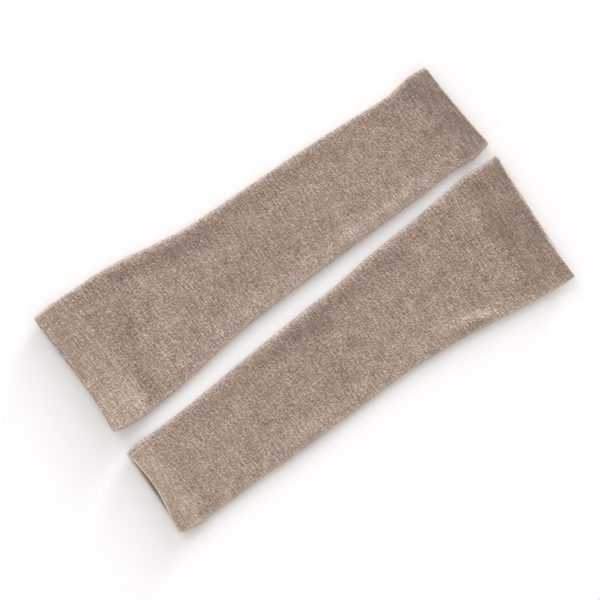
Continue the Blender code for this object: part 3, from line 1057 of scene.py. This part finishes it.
def knit_material(name, look, amounts):
    """Heather stocking stitch: mixed yarn, painted shade in its grooves and dips, painted highlights, V
    stitches in relief, and a soft nap.
    """
    material, shader, nodes = new_material(name, KNIT_SURFACE)
    knit = KnitGrid(nodes)
    stitch, groove = stitch_form(nodes, knit)
    tone = nodes.weighted(
        *streak_tones(nodes, knit, amounts),
        *stitch_tones(nodes, knit, amounts),
        (nodes.noise(knit.uv, scale=70.0, detail=3.0), amounts.blotch),
        # Painted shade: darker between the wales and in the dips of the stitches, lighter on their loops.
        (groove, amounts.groove),
        (nodes.math("SUBTRACT", stitch, STITCH_MEAN), STITCH_HEIGHT_SHADE),
        # Painted highlights at lips, hems and folds, and the painted light and shade of each patch.
        *painted_light_tones(nodes),
    )
    nodes.put(shader.inputs["Base Color"], yarn_colour(nodes, look, tone))

    fibre = nodes.noise(knit.uv, scale=1100.0, detail=2.0)
    relief = nodes.weighted((stitch, 1.0), (groove, GROOVE_RELIEF), (fibre, FIBRE_RELIEF))
    bump = nodes.add("ShaderNodeBump", None, Strength=0.7, Distance=0.00035, Height=relief)
    nodes.put(shader.inputs["Normal"], bump.outputs[0])
    return material


def thread_material(name, colour):
    """Sewing thread: pale, a little uneven, with its twist in relief."""
    material, shader, nodes = new_material(name, THREAD_SURFACE)
    place = nodes.add("ShaderNodeTexCoord").outputs["Object"]
    uneven = nodes.noise(place, scale=600.0, detail=2.0)
    twist = nodes.add("ShaderNodeTexWave", None, Vector=place, Scale=900.0, Distortion=1.5).outputs[1]
    tint = nodes.add("ShaderNodeMixRGB", None, Fac=nodes.math("MULTIPLY_ADD", uneven, THREAD_UNEVEN, 0.5))
    tint.inputs[1].default_value = (*[channel * THREAD_DARK_SHARE for channel in colour], 1.0)
    tint.inputs[2].default_value = (*colour, 1.0)
    nodes.put(shader.inputs["Base Color"], tint.outputs[0])
    bump = nodes.add("ShaderNodeBump", None, Strength=0.5, Distance=0.0001, Height=twist)
    nodes.put(shader.inputs["Normal"], bump.outputs[0])
    return material


# ---- the pieces

# The flat cut of what shows, all round, in metres: the widest girth and the length.
Cut = namedtuple("Cut", "girth length area_share")
Piece = namedtuple("Piece", "part profile finish slot")


def pieces_of(leg):
    calf_seam, ankle_seam = CALF_CUFF_DEPTH, leg.length - ANKLE_CUFF_DEPTH
    return (
        Piece("body", body_profile(leg), "body", "body_knit"),
        Piece("calf_cuff", cuff_profile(calf_seam, 0.0), "cuff", "cuff_knit"),
        Piece("ankle_cuff", cuff_profile(ankle_seam, leg.length), "cuff", "cuff_knit"),
    )


def dressings(leg, name, piece, cloth, seed):
    """The nap and the sewing that lie on a cloth, each with its finish."""
    outer_faces = (int(np.count_nonzero(~piece.profile.inner)) - 1) * len(PART_AT)
    found = [(nap_mesh(name + "_nap", leg, cloth.data, outer_faces, seed), piece.finish)]
    if piece.part != "body":
        seam_along = piece.profile.along[0]
        found.append((hem_stitches(leg, name + "_hem_stitches", seam_along), "hem_thread"))
    if piece.part == "ankle_cuff" and leg.seam:
        found.append((seam_thread(leg, name + "_seam_thread", leg.seam), "seam_thread"))
        found.append((overcast_threads(leg, name + "_overcast_threads", leg.seam), piece.finish))
    return found


def build_leg(leg, finishes):
    """The body and both cuffs of one leg warmer, each in place of its solid, with sewing and nap."""
    for number, piece in enumerate(pieces_of(leg)):
        name = f"{leg.name}_{piece.part}"
        mesh = cloth_mesh(name + "_cloth", leg, piece.profile)
        cloth = add_piece(mesh, leg, finishes[piece.finish])
        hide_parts(name)
        on_cloth = [
            add_piece(dressing, leg, finishes[finish])
            for dressing, finish in dressings(leg, name, piece, cloth, NAP_SEED + number)
        ]


# ---- floor, light and camera

FLOOR_REACH = 12.0
FLOOR_DROP = 0.0003
FLOOR_SURFACE = {"Base Color": (0.90, 0.893, 0.897, 1.0), "Roughness": 0.8, "Specular IOR Level": 0.1}
PHOTO_SIZE = 600
MM_PER_PIXEL = 0.953
PHOTO_ROLL_DEGREES = 35.8
ORIGIN_IN_PHOTO = (304.46, 296.48)
CAMERA_DISTANCE = 1.35
SENSOR_WIDTH = 36.0
NEAREST_SEEN = 0.05
FARTHEST_SEEN = 20.0
WORLD_COLOUR = (1.0, 0.972, 0.935)
WORLD_STRENGTH = 0.777

# Low window light from the ankle side of leg A, its wider glow, and a softer light from the left.
Lamp = namedtuple("Lamp", "turn_degrees height_degrees spread_degrees energy")
LAMP_COLOUR = (0.93, 0.955, 1.0)
LAMPS = (
    Lamp(28.0, 9.0, 16.0, 1.88),
    Lamp(28.0, 19.0, 30.0, 1.17),
    Lamp(85.0, 36.0, 40.0, 0.94),
)


def floor():
    mesh = bpy.data.meshes.new("studio_floor")
    far = FLOOR_REACH
    corners = [(x, y, -FLOOR_DROP) for x, y in ((-far, -far), (far, -far), (far, far), (-far, far))]
    mesh.from_pydata(corners, [], [(0, 1, 2, 3)])
    item = new_object("studio_floor", mesh)
    mesh.materials.append(new_material("studio_floor", FLOOR_SURFACE)[0])


def world_light():
    world = bpy.data.worlds.new("studio")
    world.use_nodes = True
    background = world.node_tree.nodes["Background"]
    background.inputs["Color"].default_value = (*WORLD_COLOUR, 1.0)
    background.inputs["Strength"].default_value = WORLD_STRENGTH
    bpy.context.scene.world = world


def sun(lamp):
    data = bpy.data.lights.new("window", "SUN")
    data.energy = lamp.energy
    data.angle = math.radians(lamp.spread_degrees)
    data.color = LAMP_COLOUR
    item = new_object("window", data)
    turn, height = math.radians(lamp.turn_degrees), math.radians(lamp.height_degrees)
    towards = Vector((math.cos(turn) * math.cos(height), math.sin(turn) * math.cos(height), math.sin(height)))
    item.rotation_euler = towards.to_track_quat("Z", "Y").to_euler()


def camera():
    """Straight above the pair, rolled so that it lies across the picture as in the photo."""
    roll = math.radians(PHOTO_ROLL_DEGREES)
    right = PHOTO_SIZE / 2 - ORIGIN_IN_PHOTO[0]
    down = PHOTO_SIZE / 2 - ORIGIN_IN_PHOTO[1]
    x = (right * math.cos(roll) - down * math.sin(roll)) * MM_PER_PIXEL * MM
    y = (-right * math.sin(roll) - down * math.cos(roll)) * MM_PER_PIXEL * MM
    data = bpy.data.cameras.new("camera")
    data.sensor_width = SENSOR_WIDTH
    data.lens = SENSOR_WIDTH * CAMERA_DISTANCE / (PHOTO_SIZE * MM_PER_PIXEL * MM)
    data.clip_start = NEAREST_SEEN
    data.clip_end = FARTHEST_SEEN
    item = new_object("camera", data)
    item.location = (x, y, CAMERA_DISTANCE)
    item.rotation_euler = (0.0, 0.0, -roll)
    bpy.context.scene.camera = item


def main():
    finishes = {
        "body": knit_material("body_knit_heather", HEATHER, BODY_TONE),
        "cuff": knit_material("cuff_knit_heather", HEATHER, CUFF_TONE),
        "hem_thread": thread_material("hem_thread", HEM_THREAD_COLOUR),
        "seam_thread": thread_material("seam_thread", SEAM_THREAD_COLOUR),
    }
    for leg in (LEG_A, LEG_B):
        build_leg(leg, finishes)
    floor()
    world_light()
    for lamp in LAMPS:
        sun(lamp)
    camera()
    bpy.context.scene.view_settings.view_transform = "Standard"
    # The finest stitches are as small as a pixel and the slower prefilter would wipe them out.
    bpy.context.scene.cycles.denoising_prefilter = "FAST"


main()
